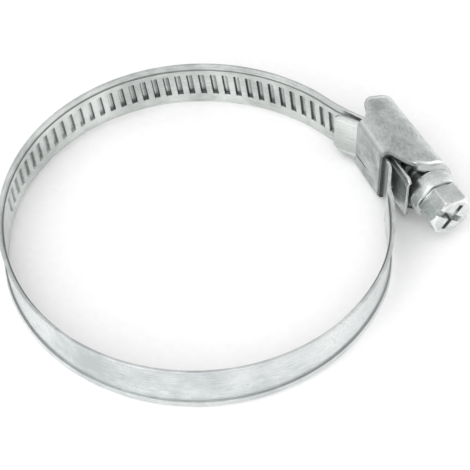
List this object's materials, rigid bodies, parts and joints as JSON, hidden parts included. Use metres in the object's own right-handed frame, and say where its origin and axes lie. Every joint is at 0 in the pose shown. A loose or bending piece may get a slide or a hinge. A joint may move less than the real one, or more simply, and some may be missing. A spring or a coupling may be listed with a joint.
{
  "type": "hose clamp",
  "caption": "Worm-drive hose clamp: a steel band with flared edges and a pressed thread, tightened round a hose by a hex-head screw in a folded housing.",
  "frame": {"origin": "middle of the clamp's footprint, level with the underside of the housing it lies on", "axes": "+Z along the ring's axis, +X towards the housing, -Y towards the screw's head"},
  "size_m": [0.0742, 0.0646, 0.0111],
  "materials": {
    "housing_steel": "zinc-plated pressed steel, satin",
    "band_steel": "zinc-plated rolled steel strip, bright satin",
    "screw_steel": "zinc-plated cold-formed steel, satin"
  },
  "bodies": {
    "housing": {"housing": "housing_steel", "band_fixed_end": "band_steel"},
    "screw": {"worm_screw": "screw_steel"},
    "band_length_1": {"band_length_1": "band_steel"},
    "band_length_2": {"band_length_2": "band_steel"},
    "band_length_3": {"band_length_3": "band_steel"},
    "band_length_4": {"band_length_4": "band_steel"},
    "band_length_5": {"band_length_5": "band_steel"},
    "band_free_end": {"band_free_end": "band_steel"}
  },
  "joints": [
    {"name": "screw_turn", "type": "hinge", "parent": "housing", "child": "screw", "pos_m": [0.0321, -0.00008, 0.00555], "axis": [0.0523, -0.9986, 0], "range_deg": [-180, 1080]},
    {"name": "near_exit_bend", "type": "hinge", "parent": "housing", "child": "band_length_1", "pos_m": [0.02558, -0.00793, 0.00555], "axis": [0, 0, 1], "range_deg": [-3.21, 0.54]},
    {"name": "bend_1_2", "type": "hinge", "parent": "band_length_1", "child": "band_length_2", "pos_m": [0.00137, -0.0309, 0.00555], "axis": [0, 0, 1], "range_deg": [-0.526, 0.096]},
    {"name": "bend_2_3", "type": "hinge", "parent": "band_length_2", "child": "band_length_3", "pos_m": [-0.02988, -0.01915, 0.00555], "axis": [0, 0, 1], "range_deg": [-0.51, 3.03]},
    {"name": "bend_3_4", "type": "hinge", "parent": "band_length_3", "child": "band_length_4", "pos_m": [-0.03295, 0.01409, 0.00555], "axis": [0, 0, 1], "range_deg": [-0.58, 3.43]},
    {"name": "bend_4_5", "type": "hinge", "parent": "band_length_4", "child": "band_length_5", "pos_m": [-0.00438, 0.03137, 0.00555], "axis": [0, 0, 1], "range_deg": [-0.049, 0.242]},
    {"name": "entry_bend", "type": "hinge", "parent": "band_length_5", "child": "band_free_end", "pos_m": [0.02363, 0.01321, 0.00555], "axis": [0, 0, 1], "range_deg": [-2.96, 0.5]}
  ],
  "couplings": [
    {"joint": "near_exit_bend", "follows": "screw_turn", "ratio": -0.002967},
    {"joint": "bend_1_2", "follows": "screw_turn", "ratio": -0.00047769},
    {"joint": "bend_2_3", "follows": "screw_turn", "ratio": 0.002796},
    {"joint": "bend_3_4", "follows": "screw_turn", "ratio": 0.0031657},
    {"joint": "bend_4_5", "follows": "screw_turn", "ratio": 0.00021483},
    {"joint": "entry_bend", "follows": "screw_turn", "ratio": -0.0027319}
  ]
}
